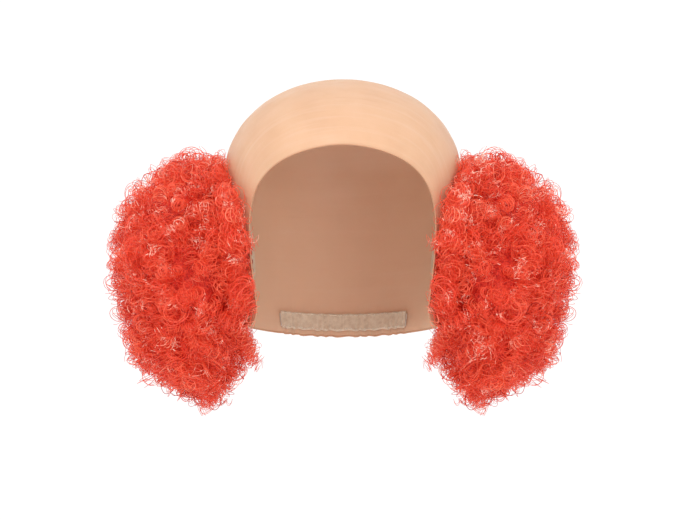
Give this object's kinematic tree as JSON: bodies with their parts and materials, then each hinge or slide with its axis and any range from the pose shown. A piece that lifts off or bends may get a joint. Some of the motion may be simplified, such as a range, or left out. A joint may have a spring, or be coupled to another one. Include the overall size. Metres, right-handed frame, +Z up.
{
  "type": "costume wig",
  "caption": "Bald rubber skull cap, worn on the head, with a big round puff of tight curly hair sewn to each side.",
  "frame": {"origin": "the middle of the wearer's head, at eye and ear level on the head's mid-plane", "axes": "+Z up towards the crown, -Y the way the face looks, +X towards the wearer's left"},
  "size_m": [0.3462, 0.2029, 0.2417],
  "materials": {
    "cap_rubber": "smooth satin skin-toned latex",
    "curly_fibre": "glossy curled synthetic fibre",
    "weft_braid": "machine-sewn fibre braid",
    "base_cloth": "close-knit cloth",
    "lining_cloth": "plain woven cotton tape",
    "elastic": "ribbed woven elastic",
    "thread": "twisted polyester thread"
  },
  "bodies": {
    "cap": {"bald_cap": "cap_rubber", "left_hair_base": "base_cloth", "right_hair_base": "base_cloth", "left_backing_patch": "lining_cloth", "right_backing_patch": "lining_cloth", "left_base_stitching": "thread", "right_base_stitching": "thread", "left_weft_1": "weft_braid", "left_weft_2": "weft_braid", "left_weft_3": "weft_braid", "left_weft_4": "weft_braid", "left_weft_5": "weft_braid", "left_weft_6": "weft_braid", "left_weft_7": "weft_braid", "right_weft_1": "weft_braid", "right_weft_2": "weft_braid", "right_weft_3": "weft_braid", "right_weft_4": "weft_braid", "right_weft_5": "weft_braid", "right_weft_6": "weft_braid", "right_weft_7": "weft_braid", "nape_casing": "lining_cloth", "nape_elastic": "elastic", "nape_stitching": "thread"},
    "left_puff": {"left_curls_1": "curly_fibre", "left_curls_2": "curly_fibre", "left_curls_3": "curly_fibre", "left_curls_4": "curly_fibre", "left_curls_5": "curly_fibre", "left_curls_6": "curly_fibre", "left_curls_7": "curly_fibre"},
    "right_puff": {"right_curls_1": "curly_fibre", "right_curls_2": "curly_fibre", "right_curls_3": "curly_fibre", "right_curls_4": "curly_fibre", "right_curls_5": "curly_fibre", "right_curls_6": "curly_fibre", "right_curls_7": "curly_fibre"}
  },
  "joints": [
    {"name": "left_puff_sway", "type": "hinge", "parent": "cap", "child": "left_puff", "pos_m": [0.086, 0.008, -0.012], "axis": [0, -1, 0], "range_deg": [-5, 5], "stiffness_Nm_per_rad": 0.6, "springref_deg": 2.69},
    {"name": "right_puff_sway", "type": "hinge", "parent": "cap", "child": "right_puff", "pos_m": [-0.086, 0.008, -0.012], "axis": [0, 1, 0], "range_deg": [-5, 5], "stiffness_Nm_per_rad": 0.6, "springref_deg": 2.69}
  ]
}
